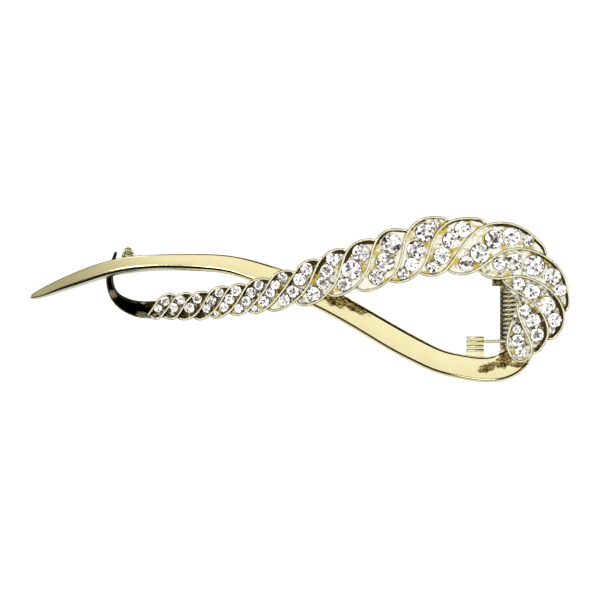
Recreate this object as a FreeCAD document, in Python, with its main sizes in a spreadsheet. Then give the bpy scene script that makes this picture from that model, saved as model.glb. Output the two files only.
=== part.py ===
import FreeCAD, Part
import math
import os
import Sketcher

from FreeCAD import Placement, Rotation, Vector

# A hair clip about 107 mm long: an arched upper jaw made of a plain ribbon and a jewelled braid,
# and a lower jaw that lies under the braid. Both turn on one sprung pin.
#
# Frame: +X towards the thumb levers, +Y across the clip, +Z up towards the jewelled face.
# The origin is on the flat underside's plane, below the middle of the clip.

os.makedirs("parts", exist_ok=True)
doc = FreeCAD.newDocument("HairClip")

# ---------------------------------------------------------------- driving dimensions

sheet = doc.addObject("Spreadsheet::Sheet", "Sizes")
SIZES = {
    # sheet metal and castings
    "ribbon_gauge": 1.2,
    "tray_gauge": 0.9,
    "rim_width": 0.5,
    "rim_height": 1.1,
    "jaw_gauge": 1.0,
    # the hinge: axis along Y
    "hinge_x": 41.8,
    "hinge_z": 7.6,
    "pin_radius": 0.75,
    "pin_from": -11.5,
    "pin_length": 16.3,
    "rivet_radius": 1.3,
    "rivet_height": 0.5,
    "running_gap": 0.05,
    "press_gap": 0.01,
    # the upper jaw's lugs
    "lug_gauge": 1.2,
    "lug_width": 3.8,
    "inner_lug_y": 3.4,
    "outer_lug_y": -11.3,
    "lug_foot_gauge": 1.0,
    "lug_foot_reach": 3.4,
    "lug_foot_width": 1.8,
    # the lower jaw's bracket, with an ear at each end of the spring
    "bracket_gauge": 0.8,
    "ear_gauge": 1.0,
    "ear_width": 3.2,
    "bracket_from": -10.0,
    "bracket_length": 13.3,
    # the torsion spring
    "wire_radius": 0.4,
    "coil_radius": 1.4,
    "coil_pitch": 0.905,
    "whole_turns": 11,
    "coil_from": -8.3,
    "anchor_leg": 6.6,
    "lever_leg": 9.3,
    "lever_leg_slope": 50,
    # the ribbed block that takes the spring's leg
    "anchor_x": 32.7,
    "anchor_width": 4.2,
    "anchor_back_y": -12.8,
    "anchor_step_y": -11.7,
    "anchor_front_y": -7.3,
    "anchor_below": 1.2,
    "anchor_above": 1.2,
    "rib_pitch": 0.85,
    "rib_depth": 0.25,
    "rib_gap": 0.3,
    # the ribbed tooth beside the blade
    "tooth_x": -34.5,
    "tooth_z": 4.6,
    "tooth_root_y": 6.4,
    "tooth_shoulder_y": 8.8,
    "tooth_point_y": 10.8,
    "tooth_radius": 1.4,
    "tooth_root_width": 2.4,
    "tooth_step": 0.25,
}
for row, (alias, value) in enumerate(SIZES.items(), start=1):
    sheet.set(f"A{row}", alias)
    sheet.set(f"B{row}", str(value))
    sheet.setAlias(f"B{row}", alias)
doc.recompute()


def size(alias):
    """A driving dimension, read from the sheet."""
    return float(sheet.get(alias))


# ---------------------------------------------------------------- curves, in millimetres

# The arch: the height of the ribbon's upper face, which is also the braid's underside.
ARCH = [
    (-54.5, 3.3), (-45.0, 5.0), (-37.0, 6.7), (-28.0, 9.0), (-15.0, 12.3), (0.0, 14.8),
    (12.0, 15.5), (24.0, 15.0), (34.0, 13.9), (42.0, 13.2), (48.0, 13.4), (54.5, 14.6),
]
# The lower jaw's underside, left of its flat foot.
FOOT_END = (-3.0, 0.0)
JAW_RISE = [(-12.0, 0.9), (-20.0, 2.9), (-27.0, 4.7), (-31.5, 5.2), (-35.0, 4.7), (-42.0, 2.9)]
LEVER_END = 54.5
SIDE = 25.0

# Centre line and width of the plain ribbon: x, y, width.
RIBBON = [
    (-53.8, 0.6, 0.9), (-52.2, 1.2, 1.8), (-50.0, 2.1, 2.3), (-44.0, 4.4, 3.1), (-38.0, 6.3, 3.3),
    (-34.4, 7.0, 3.4), (-28.0, 7.5, 3.3), (-20.0, 7.5, 3.5), (-14.0, 7.0, 3.8), (-10.0, 6.0, 4.2),
    (-3.6, 3.8, 4.6), (5.8, -0.3, 4.9), (14.0, -4.9, 5.0), (20.0, -8.4, 5.1), (24.0, -10.5, 5.0),
    (28.0, -12.3, 4.9), (32.0, -13.3, 4.9), (36.0, -13.9, 5.0), (40.2, -13.5, 5.4), (43.4, -11.6, 5.2),
    (45.2, -8.6, 3.6),
]
# Centre line and width of the lower jaw's band, from the hook to the lever.
JAW = [
    (-36.9, 9.8, 0.8), (-37.4, 8.2, 0.9), (-38.1, 6.0, 1.3), (-38.2, 4.0, 1.6), (-37.8, 2.0, 1.8),
    (-36.8, 0.4, 2.3), (-35.4, -0.7, 2.8), (-33.6, -1.5, 3.2), (-31.8, -1.9, 3.5), (-28.0, -1.8, 3.5),
    (-20.0, -1.0, 3.2), (-10.0, 0.6, 3.4), (0.0, 3.2, 3.8), (10.0, 6.0, 4.0), (20.0, 9.0, 4.2),
    (30.0, 10.6, 4.4), (37.0, 10.4, 4.6), (42.0, 9.0, 5.0),
]
# The lower thumb lever's edge, in runs: straight beside the hinge, curved outside.
LEVER = [
    [(36.4, 8.6), (40.2, 5.0)],
    [(40.2, 5.0), (40.2, -11.2)],
    [
        (40.2, -11.2), (44.0, -10.6), (48.2, -7.2), (51.2, -3.0), (52.2, 1.5), (50.6, 5.8),
        (47.6, 9.6), (43.6, 12.4), (38.2, 12.6),
    ],
    [(38.2, 12.6), (36.4, 8.6)],
]
# The rims: each starts on the braid's lower edge, crosses it and runs out along its upper edge.
# The last one is the teardrop's loop.
RIMS = [
    [(-30.9, -3.6), (-29.8, -2.2), (-28.4, -0.2), (-27.2, 0.9), (-26.0, 1.2)],
    [(-28.6, -3.7), (-27.1, -2.5), (-25.8, -0.7), (-24.5, 0.8), (-22.4, 1.3)],
    [(-26.8, -3.5), (-25.4, -3.7), (-23.8, -2.2), (-22.6, -0.2), (-21.2, 1.1), (-19.2, 1.6)],
    [
        (-23.6, -3.8), (-21.4, -3.3), (-20.0, -1.9), (-18.8, 0.1), (-17.6, 1.8), (-16.4, 2.5),
        (-15.0, 2.6),
    ],
    [(-20.4, -3.8), (-18.0, -2.9), (-16.4, -1.2), (-15.2, 0.8), (-13.9, 2.5), (-11.8, 3.1)],
    [
        (-17.0, -3.5), (-14.4, -2.5), (-12.8, -0.8), (-11.6, 1.2), (-10.2, 3.2), (-8.6, 4.1),
        (-7.0, 4.2),
    ],
    [
        (-13.2, -2.9), (-10.8, -2.3), (-8.8, -0.3), (-7.2, 1.7), (-5.9, 3.9), (-4.6, 5.3),
        (-2.4, 5.8),
    ],
    [(-9.6, -2.5), (-7.4, -2.1), (-5.6, -0.7), (-3.2, 2.2), (-1.2, 5.2), (0.4, 7.2), (2.8, 8.0)],
    [
        (-6.0, -2.0), (-3.6, -1.7), (-1.0, -0.2), (1.2, 2.1), (2.6, 5.0), (3.9, 7.7), (5.8, 9.5),
        (8.2, 10.1),
    ],
    [
        (0.0, -0.9), (2.4, -0.7), (5.6, 1.4), (7.4, 4.2), (8.4, 7.2), (9.6, 10.0), (11.8, 11.7),
        (14.4, 12.0),
    ],
    [
        (6.6, 0.8), (9.0, 1.4), (11.4, 3.0), (13.4, 6.2), (14.4, 9.6), (15.6, 12.4), (17.6, 13.9),
        (20.8, 13.9),
    ],
    [
        (12.0, 2.0), (17.0, 3.4), (19.6, 6.4), (20.6, 10.4), (21.7, 13.8), (24.0, 15.9),
        (26.4, 16.5), (29.2, 16.0),
    ],
    [
        (18.4, 3.7), (22.4, 4.5), (25.0, 7.4), (26.4, 11.4), (28.2, 14.4), (31.0, 16.0),
        (33.6, 16.3), (36.4, 15.8),
    ],
    [
        (24.8, 5.1), (28.0, 5.3), (30.6, 7.9), (33.2, 11.7), (36.2, 14.4), (40.0, 15.4),
        (44.4, 14.3), (47.4, 12.0), (49.0, 9.6),
    ],
    [
        (30.4, 5.5), (34.4, 5.6), (38.0, 8.0), (41.4, 9.9), (45.0, 10.1), (49.0, 8.6), (52.3, 5.4),
        (53.5, 1.4), (53.2, -1.8),
    ],
    [
        (36.6, 5.1), (39.4, 4.3), (43.2, 4.7), (47.0, 3.8), (50.2, 1.7), (52.2, -1.2),
        (52.6, -4.4), (51.4, -6.8), (50.2, -7.7),
    ],
    [(40.6, 3.8), (43.4, 1.6), (47.0, -1.0), (49.0, -4.2), (49.4, -7.0), (48.4, -9.2), (47.0, -10.5)],
    [
        (43.4, 0.0), (43.5, -2.2), (44.6, -5.4), (46.1, -9.0), (46.0, -11.0), (44.0, -12.3),
        (42.0, -11.0), (41.4, -8.4), (42.0, -5.4), (42.8, -3.4),
    ],
]
# The stones of each row, from the upper edge down: x, y, diameter.
STONES = [
    [(-26.8, -0.2, 1.6), (-28.2, -1.7, 1.5)],
    [(-23.7, 0.0, 1.5), (-25.0, -1.5, 1.7)],
    [(-20.4, 0.2, 1.7), (-21.9, -1.6, 1.7)],
    [(-16.0, 1.5, 1.6), (-17.5, -0.1, 1.8), (-18.5, -1.7, 1.5)],
    [(-12.6, 1.8, 1.8), (-13.9, 0.2, 1.8), (-15.0, -1.4, 1.7), (-16.6, -2.7, 0.9)],
    [(-8.1, 3.0, 1.6), (-9.6, 1.5, 1.9), (-10.6, -0.2, 1.8), (-12.1, -1.7, 1.5)],
    [(-3.4, 4.6, 1.6), (-4.8, 3.0, 1.8), (-5.8, 1.4, 1.8), (-7.1, -0.3, 1.9), (-9.0, -1.7, 1.0)],
    [(1.4, 6.2, 2.1), (0.0, 4.1, 2.1), (-1.3, 1.7, 2.0), (-3.0, 0.0, 2.0)],
    [(6.6, 8.2, 2.3), (5.4, 5.8, 2.1), (4.5, 3.4, 2.0), (2.8, 1.2, 2.2)],
    [(12.2, 9.4, 2.8), (10.3, 6.1, 3.1), (8.8, 3.1, 2.2)],
    [(18.2, 11.2, 3.1), (16.9, 7.5, 3.2), (15.2, 4.6, 2.6)],
    [(27.0, 15.2, 1.5), (24.8, 13.5, 3.0), (23.1, 10.0, 3.1), (22.2, 7.0, 2.3), (20.6, 5.1, 2.0)],
    [(32.4, 14.1, 2.9), (30.0, 11.9, 2.9), (28.2, 8.8, 3.0), (26.4, 6.6, 2.2)],
    [(45.6, 11.9, 2.0), (42.2, 12.7, 3.1), (38.6, 12.1, 3.1), (35.8, 9.3, 3.4), (33.1, 7.3, 2.6)],
    [(39.7, 7.2, 2.3), (42.6, 7.6, 3.1), (46.8, 6.9, 3.3), (50.6, 4.7, 2.7), (52.1, 2.0, 2.1)],
    [(43.7, 3.1, 2.1), (46.4, 1.7, 2.9), (49.5, -1.1, 3.1), (51.0, -4.0, 2.4), (50.3, -6.0, 1.2)],
    [(44.9, -2.0, 2.1), (46.6, -4.2, 2.8), (47.4, -6.9, 2.5)],
    [(43.3, -5.8, 1.5), (43.5, -8.1, 2.4), (44.0, -10.4, 2.2)],
]
# A stone's section, as fractions of its diameter: radius at the foot, girdle and table, and heights.
STONE_FOOT = 0.28
STONE_TABLE = 0.29
PAVILION = 0.22
GIRDLE = 0.05
CROWN = 0.16
FACETS = 8


# ---------------------------------------------------------------- geometry helpers

def spline(points):
    """A smooth curve through points given as (x, y) pairs."""
    curve = Part.BSplineCurve()
    curve.interpolate([Vector(p[0], p[1], 0) for p in points])
    return curve


def strip_face(stations):
    """A flat strip that follows (x, y, width) stations, with square ends."""
    centre = spline(stations)
    left = []
    right = []
    for x, y, width in stations:
        tangent = centre.tangent(centre.parameter(Vector(x, y, 0)))[0]
        normal = Vector(-tangent.y, tangent.x, 0) * (width / 2)
        left.append(Vector(x, y, 0) + normal)
        right.append(Vector(x, y, 0) - normal)
    edges = [
        spline(left).toShape(),
        Part.LineSegment(left[-1], right[-1]).toShape(),
        spline(right).toShape(),
        Part.LineSegment(right[0], left[0]).toShape(),
    ]
    return Part.Face(Part.Wire(Part.sortEdges(edges)[0]))


def outline_face(*runs):
    """A flat face bounded by smooth runs that meet end to end; a run of two points is straight."""
    edges = []
    for run in runs:
        points = [Vector(x, y, 0) for x, y in run]
        if len(points) == 2:
            edges.append(Part.LineSegment(points[0], points[1]).toShape())
        else:
            edges.append(spline(run).toShape())
    return Part.Face(Part.Wire(Part.sortEdges(edges)[0]))


def layer_face(curve_edges, below, above):
    """The band of the XZ plane between two vertical shifts of the same curve."""
    low = [edge.translated(Vector(0, -SIDE, below)) for edge in curve_edges]
    high = [edge.translated(Vector(0, -SIDE, above)) for edge in curve_edges]
    ends = []
    for vertex in (0, -1):
        start = low[vertex].Vertexes[vertex].Point
        ends.append(Part.LineSegment(start, start + Vector(0, 0, above - below)).toShape())
    return Part.Face(Part.Wire(Part.sortEdges(low + high + ends)[0]))


def profile_edge(points):
    """A smooth edge in the XZ plane through (x, z) points."""
    curve = Part.BSplineCurve()
    curve.interpolate([Vector(x, 0, z) for x, z in points])
    return curve.toShape()


def feature(name, shape):
    """A document object that holds a shape worked out from the sheet's sizes."""
    item = doc.addObject("Part::Feature", name)
    item.Shape = shape
    return item


def extrusion(name, base, direction, length):
    """A Part extrusion of a planar base."""
    item = doc.addObject("Part::Extrusion", name)
    item.Base = base
    item.DirMode = "Custom"
    item.Dir = direction
    item.LengthFwd = length
    item.Solid = True
    return item


def common(label, base, tool):
    """The sub-part that two stocks share."""
    item = doc.addObject("Part::Common", label)
    item.Base = base
    item.Tool = tool
    return item


def primitive(kind, name, position=(0, 0, 0), rotation=Rotation(), **bound):
    """A Part primitive whose sizes follow expressions on the sheet."""
    item = doc.addObject(kind, name)
    item.Placement = Placement(Vector(*position), rotation)
    for prop, expression in bound.items():
        item.setExpression(prop, expression)
    return item


def boolean(kind, label, base, tool):
    """A cut or fuse of two document objects."""
    item = doc.addObject(kind, label)
    item.Base = base
    item.Tool = tool
    return item


def place(item, **bound):
    """Binds an object's position to expressions on the sheet."""
    for axis, expression in bound.items():
        item.setExpression(f"Placement.Base.{axis}", expression)


ALONG_Y = Rotation(Vector(1, 0, 0), -90)
UP = Vector(0, 0, 1)
ACROSS = Vector(0, 1, 0)
STOCK = 30.0
NEARLY_ZERO = 0.001
OUTLINE_SIDE = 0.8
SHORTEST_SIDE = 0.15

# ---------------------------------------------------------------- arched upper jaw

arch = profile_edge(ARCH)
ribbon_gauge = size("ribbon_gauge")
tray_gauge = size("tray_gauge")
rim_height = size("rim_height")


def arched(label, plan, below, above):
    """A sub-part cut from its plan by a layer that lies between two heights on the arch."""
    blank = extrusion(f"{label}_plan_stock", feature(f"{label}_plan", plan), UP, STOCK)
    layer = feature(f"{label}_layer", layer_face([arch], below, above))
    return common(label, blank, extrusion(f"{label}_layer_stock", layer, ACROSS, 2 * SIDE))


def make_ribbon():
    return arched("plain_ribbon", strip_face(RIBBON), -ribbon_gauge, 0)


def faceted(face):
    """The face, with its outline drawn again as short straight sides."""
    corners = []
    for edge in face.OuterWire.OrderedEdges:
        points = edge.discretize(Number=math.ceil(edge.Length / OUTLINE_SIDE) + 1)
        if corners and corners[-1].distanceToPoint(points[-1]) < corners[-1].distanceToPoint(points[0]):
            points.reverse()
        for point in points:
            if not corners or point.distanceToPoint(corners[-1]) > SHORTEST_SIDE:
                corners.append(point)
    if corners[0].distanceToPoint(corners[-1]) < SHORTEST_SIDE:
        corners.pop()
    return Part.Face(Part.makePolygon(corners + corners[:1]))


def braid_plan():
    """The tray's plan. Outside, it follows each rim from where the last one ends to its own end;
    inside, each rim from its start to where the next one starts. It is then grown by half a rim."""
    curves = [spline(rim) for rim in RIMS]
    runs = []
    start = curves[0].FirstParameter
    for curve, following in zip(curves, curves[1:] + [None]):
        runs.append((curve, start, curve.LastParameter))
        if following:
            start = following.parameter(curve.value(curve.LastParameter))
    for curve, following in zip(curves[-2::-1], curves[:0:-1]):
        meeting = curve.parameter(following.value(following.FirstParameter))
        runs.append((curve, meeting, curve.FirstParameter))
    edges = []
    here = curves[0].value(curves[0].FirstParameter)
    for curve, first, last in runs:
        there = curve.value(first)
        if here.distanceToPoint(there) > NEARLY_ZERO:
            edges.append(Part.LineSegment(here, there).toShape())
        if abs(last - first) > NEARLY_ZERO:
            part = curve.copy()
            part.segment(min(first, last), max(first, last))
            edges.append(part.toShape())
        here = curve.value(last)
    plan = Part.Face(Part.Wire(Part.sortEdges(edges)[0]))
    return faceted(plan.makeOffset2D(size("rim_width") / 2))


def make_tray():
    return arched("braid_tray", braid_plan(), 0, tray_gauge)


def make_rims():
    """Bars of constant width that stand on the tray, each a solid of its own."""
    width = size("rim_width")
    layer = layer_face([arch], tray_gauge, tray_gauge + rim_height).extrude(ACROSS * 2 * SIDE)
    bars = []
    for rim in RIMS:
        blank = strip_face([(x, y, width) for x, y in rim]).extrude(UP * STOCK)
        bars += blank.common(layer).Solids
    return feature("twist_rims", Part.makeCompound(bars))


def arch_height(x):
    """Height and slope angle (degrees) of the arch at x."""
    curve = arch.Curve
    parameter = curve.parameter(Vector(x, 0, 10))
    for _ in range(20):
        point = curve.value(parameter)
        tangent = curve.tangent(parameter)[0]
        step = (x - point.x) / curve.getD1(parameter)[1].x
        parameter += step
    point = curve.value(parameter)
    return point.z, math.degrees(math.atan2(tangent.z, tangent.x))


def cut_stone(diameter):
    """A faceted stone with its foot on the XY plane: foot, girdle and table are regular octagons."""
    levels = [
        (STONE_FOOT, 0.0),
        (0.5, PAVILION),
        (0.5, PAVILION + GIRDLE),
        (STONE_TABLE, PAVILION + GIRDLE + CROWN),
    ]
    rings = []
    for radius, height in levels:
        corners = []
        for k in range(FACETS + 1):
            turn = 2 * math.pi * k / FACETS
            ring_radius = radius * diameter
            corners.append(
                Vector(ring_radius * math.cos(turn), ring_radius * math.sin(turn), height * diameter)
            )
        rings.append(Part.makePolygon(corners))
    return Part.makeLoft(rings, True, True)


def make_stones(number, row):
    """One row of separate stones, each standing square on the tray's floor."""
    stones = []
    for x, y, diameter in row:
        height, slope = arch_height(x)
        lift = tray_gauge / math.cos(math.radians(slope)) + size("press_gap")
        stone = cut_stone(diameter)
        stone.Placement = Placement(Vector(x, y, height + lift), Rotation(ACROSS, -slope))
        stones.append(stone)
    return feature(f"stones_row_{number:02d}", Part.makeCompound(stones))


# ---------------------------------------------------------------- hinge parts

def tongue(name, width, thickness, y_position, height):
    """An upright plate with its lower end rounded about the hinge axis."""
    stem = primitive(
        "Part::Box", f"{name}_stem", Length=width, Width=thickness, Height=height,
    )
    place(stem, x=f"Sizes.hinge_x - {width} / 2", y=y_position, z="Sizes.hinge_z")
    round_end = primitive(
        "Part::Cylinder", f"{name}_round", rotation=ALONG_Y,
        Radius=f"{width} / 2", Height=thickness,
    )
    place(round_end, x="Sizes.hinge_x", y=y_position, z="Sizes.hinge_z")
    return boolean("Part::Fuse", f"{name}_blank", stem, round_end)


def pin_hole(name, gap):
    """A tool for a hole round the hinge axis, as long as the pin."""
    tool = primitive(
        "Part::Cylinder", f"{name}_hole", rotation=ALONG_Y,
        Radius=f"Sizes.pin_radius + {gap}", Height="Sizes.pin_length",
    )
    place(tool, x="Sizes.hinge_x", y="Sizes.pin_from", z="Sizes.hinge_z")
    return tool


def make_upper_lug(label, y_position, underside, footed=False):
    """A lug that hangs from the upper jaw, its top following the arch; a foot spreads its seat."""
    blank = tongue(label, "Sizes.lug_width", "Sizes.lug_gauge", y_position, "Sizes.hinge_z * 2")
    if footed:
        foot = primitive(
            "Part::Box", f"{label}_foot", Length="Sizes.lug_foot_reach",
            Width="Sizes.lug_foot_width", Height="Sizes.hinge_z",
        )
        seat = arch_height(size("hinge_x"))[0] - size("lug_foot_gauge")
        place(
            foot, x="Sizes.hinge_x - Sizes.lug_foot_reach",
            y=f"{y_position} + Sizes.lug_gauge - Sizes.lug_foot_width", z=str(seat),
        )
        blank = boolean("Part::Fuse", f"{label}_footed", blank, foot)
    drilled = boolean("Part::Cut", f"{label}_drilled", blank, pin_hole(label, "Sizes.running_gap"))
    below = feature(f"{label}_under", layer_face([arch], -STOCK, underside))
    return common(label, drilled, extrusion(f"{label}_under_stock", below, ACROSS, 2 * SIDE))


def make_bracket():
    """A U of sheet: a base on the lower jaw and an ear at each end of the spring."""
    base = primitive(
        "Part::Box", "bracket_base", Length="Sizes.ear_width", Width="Sizes.bracket_length",
        Height="Sizes.bracket_gauge",
    )
    place(
        base, x="Sizes.hinge_x - Sizes.ear_width / 2", y="Sizes.bracket_from", z="Sizes.jaw_gauge",
    )
    shape = base
    ear_places = {
        "outer_ear": "Sizes.bracket_from",
        "inner_ear": "Sizes.bracket_from + Sizes.bracket_length - Sizes.ear_gauge",
    }
    for name, y_position in ear_places.items():
        stem = primitive(
            "Part::Box", f"{name}_stem", Length="Sizes.ear_width", Width="Sizes.ear_gauge",
            Height="Sizes.hinge_z - Sizes.jaw_gauge",
        )
        place(stem, x="Sizes.hinge_x - Sizes.ear_width / 2", y=y_position, z="Sizes.jaw_gauge")
        crown = primitive(
            "Part::Cylinder", f"{name}_crown", rotation=ALONG_Y,
            Radius="Sizes.ear_width / 2", Height="Sizes.ear_gauge",
        )
        place(crown, x="Sizes.hinge_x", y=y_position, z="Sizes.hinge_z")
        ear = boolean("Part::Fuse", name, stem, crown)
        shape = boolean("Part::Fuse", f"bracket_with_{name}", shape, ear)
    return boolean("Part::Cut", "hinge_bracket", shape, pin_hole("bracket", "Sizes.press_gap"))


def polygon_sketch(body, role, name, corners):
    """A closed polygon on an origin plane, every corner held by expressions on the sheet."""
    sketch = body.newObject("Sketcher::SketchObject", name)
    plane = next(item for item in body.Origin.OriginFeatures if item.Role == role)
    sketch.AttachmentSupport = [(plane, "")]
    sketch.MapMode = "FlatFace"
    places = [[float(sheet.evalExpression(value)) for value in corner] for corner in corners]
    count = len(places)
    for k, here in enumerate(places):
        there = places[(k + 1) % count]
        sketch.addGeometry(Part.LineSegment(Vector(*here, 0), Vector(*there, 0)), False)
    for k in range(count):
        sketch.addConstraint(Sketcher.Constraint("Coincident", k, 2, (k + 1) % count, 1))
    for k, (place_xy, corner) in enumerate(zip(places, corners)):
        for kind, axis, value, expression in zip(
            ("DistanceX", "DistanceY"), (-2, -1), place_xy, corner
        ):
            if expression == "0":
                sketch.addConstraint(Sketcher.Constraint("PointOnObject", k, 1, axis))
                continue
            held = sketch.addConstraint(Sketcher.Constraint(kind, -1, 1, k, 1, value))
            sketch.renameConstraint(held, f"{kind}_{k}")
            sketch.setExpression(f"Constraints.{kind}_{k}", expression)
    return sketch


def turned(label, corners):
    """A body turned about the Y axis from (radius, distance along Y) corners."""
    body = doc.addObject("PartDesign::Body", label)
    sketch = polygon_sketch(body, "XY_Plane", f"{label}_section", corners)
    turn = body.newObject("PartDesign::Revolution", f"{label}_turned")
    turn.Profile = sketch
    turn.ReferenceAxis = (sketch, ["V_Axis"])
    turn.Angle = 360
    return body


def make_pin():
    """The pin, with a low rivet head at each end."""
    near = "-Sizes.rivet_height"
    far = "Sizes.pin_length"
    top = "Sizes.pin_length + Sizes.rivet_height"
    pin = turned(
        "hinge_pin",
        [
            ("0", near), ("Sizes.rivet_radius", near), ("Sizes.rivet_radius", "0"),
            ("Sizes.pin_radius", "0"), ("Sizes.pin_radius", far), ("Sizes.rivet_radius", far),
            ("Sizes.rivet_radius", top), ("0", top),
        ],
    )
    place(pin, x="Sizes.hinge_x", y="Sizes.pin_from", z="Sizes.hinge_z")
    return pin


def make_spring():
    """A close coil round the pin: one leg enters the anchor block, the other presses the lever."""
    wire = size("wire_radius")
    radius = size("coil_radius")
    slope = math.radians(size("lever_leg_slope"))
    turns = size("whole_turns") + size("lever_leg_slope") / 360
    centre = Vector(size("hinge_x"), size("coil_from"), size("hinge_z"))
    start = centre + Vector(0, 0, radius)
    helix = Part.makeHelix(size("coil_pitch"), turns * size("coil_pitch"), radius)
    helix.Placement = Placement(centre, ALONG_Y.multiply(Rotation(UP, -90)))
    path = helix.Edges[0]
    section = Part.Wire(Part.makeCircle(wire, start, path.tangentAt(path.FirstParameter)))
    coil = Part.Wire([path]).makePipeShell([section], True, True)
    lap = wire / 2
    finish = path.valueAt(path.LastParameter)
    away = Vector(math.cos(slope), 0, -math.sin(slope))
    anchor_leg = Part.makeCylinder(
        wire, size("anchor_leg") + lap, start + Vector(lap, 0, 0), Vector(-1, 0, 0)
    )
    lever_leg = Part.makeCylinder(wire, size("lever_leg") + lap, finish - away * lap, away)
    return feature("torsion_spring", coil.fuse([anchor_leg, lever_leg]))


def make_anchor():
    """The ribbed block: a web under the ribbon and a ribbed tongue with a hole for the leg."""
    low = "Sizes.hinge_z + Sizes.coil_radius - Sizes.anchor_below"
    top = "Sizes.hinge_z + Sizes.coil_radius + Sizes.anchor_above"
    corners = [
        ("Sizes.anchor_back_y", low), ("Sizes.anchor_front_y", low), ("Sizes.anchor_front_y", top),
    ]
    for k in range(1, 4):
        edge = f"Sizes.anchor_front_y - {k} * Sizes.rib_pitch"
        sunk = f"{top} - Sizes.rib_depth"
        far_edge = f"{edge} - Sizes.rib_gap"
        corners += [(edge, top), (edge, sunk), (far_edge, sunk), (far_edge, top)]
    ceiling = "Sizes.hinge_z * 2"
    corners += [
        ("Sizes.anchor_step_y", top), ("Sizes.anchor_step_y", ceiling),
        ("Sizes.anchor_back_y", ceiling),
    ]
    body = doc.addObject("PartDesign::Body", "anchor_blank")
    sketch = polygon_sketch(body, "YZ_Plane", "anchor_section", corners)
    pad = body.newObject("PartDesign::Pad", "anchor_pad")
    pad.Profile = sketch
    pad.setExpression("Length", "Sizes.anchor_width")
    place(body, x="Sizes.anchor_x")
    hole = primitive(
        "Part::Cylinder", "leg_hole", rotation=Rotation(ACROSS, 90),
        Radius="Sizes.wire_radius + Sizes.running_gap", Height="Sizes.anchor_leg",
    )
    place(
        hole, x="Sizes.hinge_x - Sizes.anchor_leg - Sizes.running_gap", y="Sizes.coil_from",
        z="Sizes.hinge_z + Sizes.coil_radius",
    )
    drilled = boolean("Part::Cut", "anchor_drilled", body, hole)
    below = feature("anchor_under", layer_face([arch], -STOCK, -ribbon_gauge))
    return common("spring_anchor", drilled, extrusion("anchor_under_stock", below, ACROSS, 2 * SIDE))


def make_tooth():
    """The ribbed cone, turned in steps, on a square root under the blade."""
    corners = [("0", "Sizes.tooth_shoulder_y - Sizes.tooth_step")]
    steps = 3
    for k in range(steps):
        wide = f"Sizes.tooth_radius * {steps - k} / {steps}"
        start = f"Sizes.tooth_shoulder_y + (Sizes.tooth_point_y - Sizes.tooth_shoulder_y) * {k} / {steps}"
        if k == 0:
            start = corners[0][1]
        end = f"Sizes.tooth_shoulder_y + (Sizes.tooth_point_y - Sizes.tooth_shoulder_y) * {k + 1} / {steps}"
        corners += [(wide, start), (f"{wide} - Sizes.tooth_step / 2", end)]
    corners.append(("0", "Sizes.tooth_point_y"))
    cone = turned("tooth_cone", corners)
    place(cone, x="Sizes.tooth_x", z="Sizes.tooth_z")
    root = primitive(
        "Part::Box", "tooth_root", Length="Sizes.tooth_root_width",
        Width="Sizes.tooth_shoulder_y - Sizes.tooth_root_y", Height="Sizes.hinge_z",
    )
    place(
        root, x="Sizes.tooth_x - Sizes.tooth_root_width / 2", y="Sizes.tooth_root_y",
        z="Sizes.tooth_z - Sizes.tooth_radius",
    )
    joined = boolean("Part::Fuse", "tooth_blank", root, cone)
    below = feature("tooth_under", layer_face([arch], -STOCK, -ribbon_gauge))
    return common("ribbed_tooth", joined, extrusion("tooth_under_stock", below, ACROSS, 2 * SIDE))


# ---------------------------------------------------------------- lower jaw

def make_lower_jaw():
    """The band and the thumb lever, one sheet: flat to stand on, rising to the hooked end."""
    band = feature("jaw_band_plan", strip_face(JAW))
    lever = feature("jaw_lever_plan", outline_face(*LEVER))
    band_stock = extrusion("jaw_band_stock", band, UP, STOCK)
    lever_stock = extrusion("jaw_lever_stock", lever, UP, STOCK)
    plan = boolean("Part::Fuse", "jaw_plan_stock", band_stock, lever_stock)
    foot = Part.LineSegment(
        Vector(LEVER_END, 0, FOOT_END[1]), Vector(FOOT_END[0], 0, FOOT_END[1])
    ).toShape()
    rise = Part.BSplineCurve()
    rise.interpolate(
        [Vector(x, 0, z) for x, z in [FOOT_END, *JAW_RISE]],
        InitialTangent=Vector(-1, 0, 0), FinalTangent=Vector(-1, 0, -0.35),
    )
    layer = feature("jaw_layer", layer_face([foot, rise.toShape()], 0, size("jaw_gauge")))
    return common("lower_jaw", plan, extrusion("jaw_layer_stock", layer, ACROSS, 2 * SIDE))


# ---------------------------------------------------------------- build, check and write

sub_parts = [
    make_ribbon(),
    make_tray(),
    make_rims(),
    *[make_stones(number, row) for number, row in enumerate(STONES, start=1)],
    make_upper_lug("upper_lug_inner", "Sizes.inner_lug_y", 0, footed=True),
    make_upper_lug("upper_lug_outer", "Sizes.outer_lug_y", -ribbon_gauge),
    make_anchor(),
    make_tooth(),
    make_lower_jaw(),
    make_bracket(),
    make_pin(),
    make_spring(),
]
doc.recompute()

for item in doc.Objects:
    if "Invalid" in item.State or "Error" in item.State:
        raise RuntimeError(f"{item.Label} failed: {item.State}")
for item in sub_parts:
    shape = item.Shape
    if shape.isNull() or not shape.isValid() or not shape.Solids:
        raise RuntimeError(f"{item.Label} has no valid shape")
    print(f"{item.Label}: {len(shape.Solids)} solids, {shape.Volume:.2f} mm3")
for item in sub_parts:
    item.Shape.exportStep(os.path.join("parts", f"{item.Label}.step"))
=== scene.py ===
import math

import bmesh
import bpy
import numpy as np
from mathutils import Matrix, Vector


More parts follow.
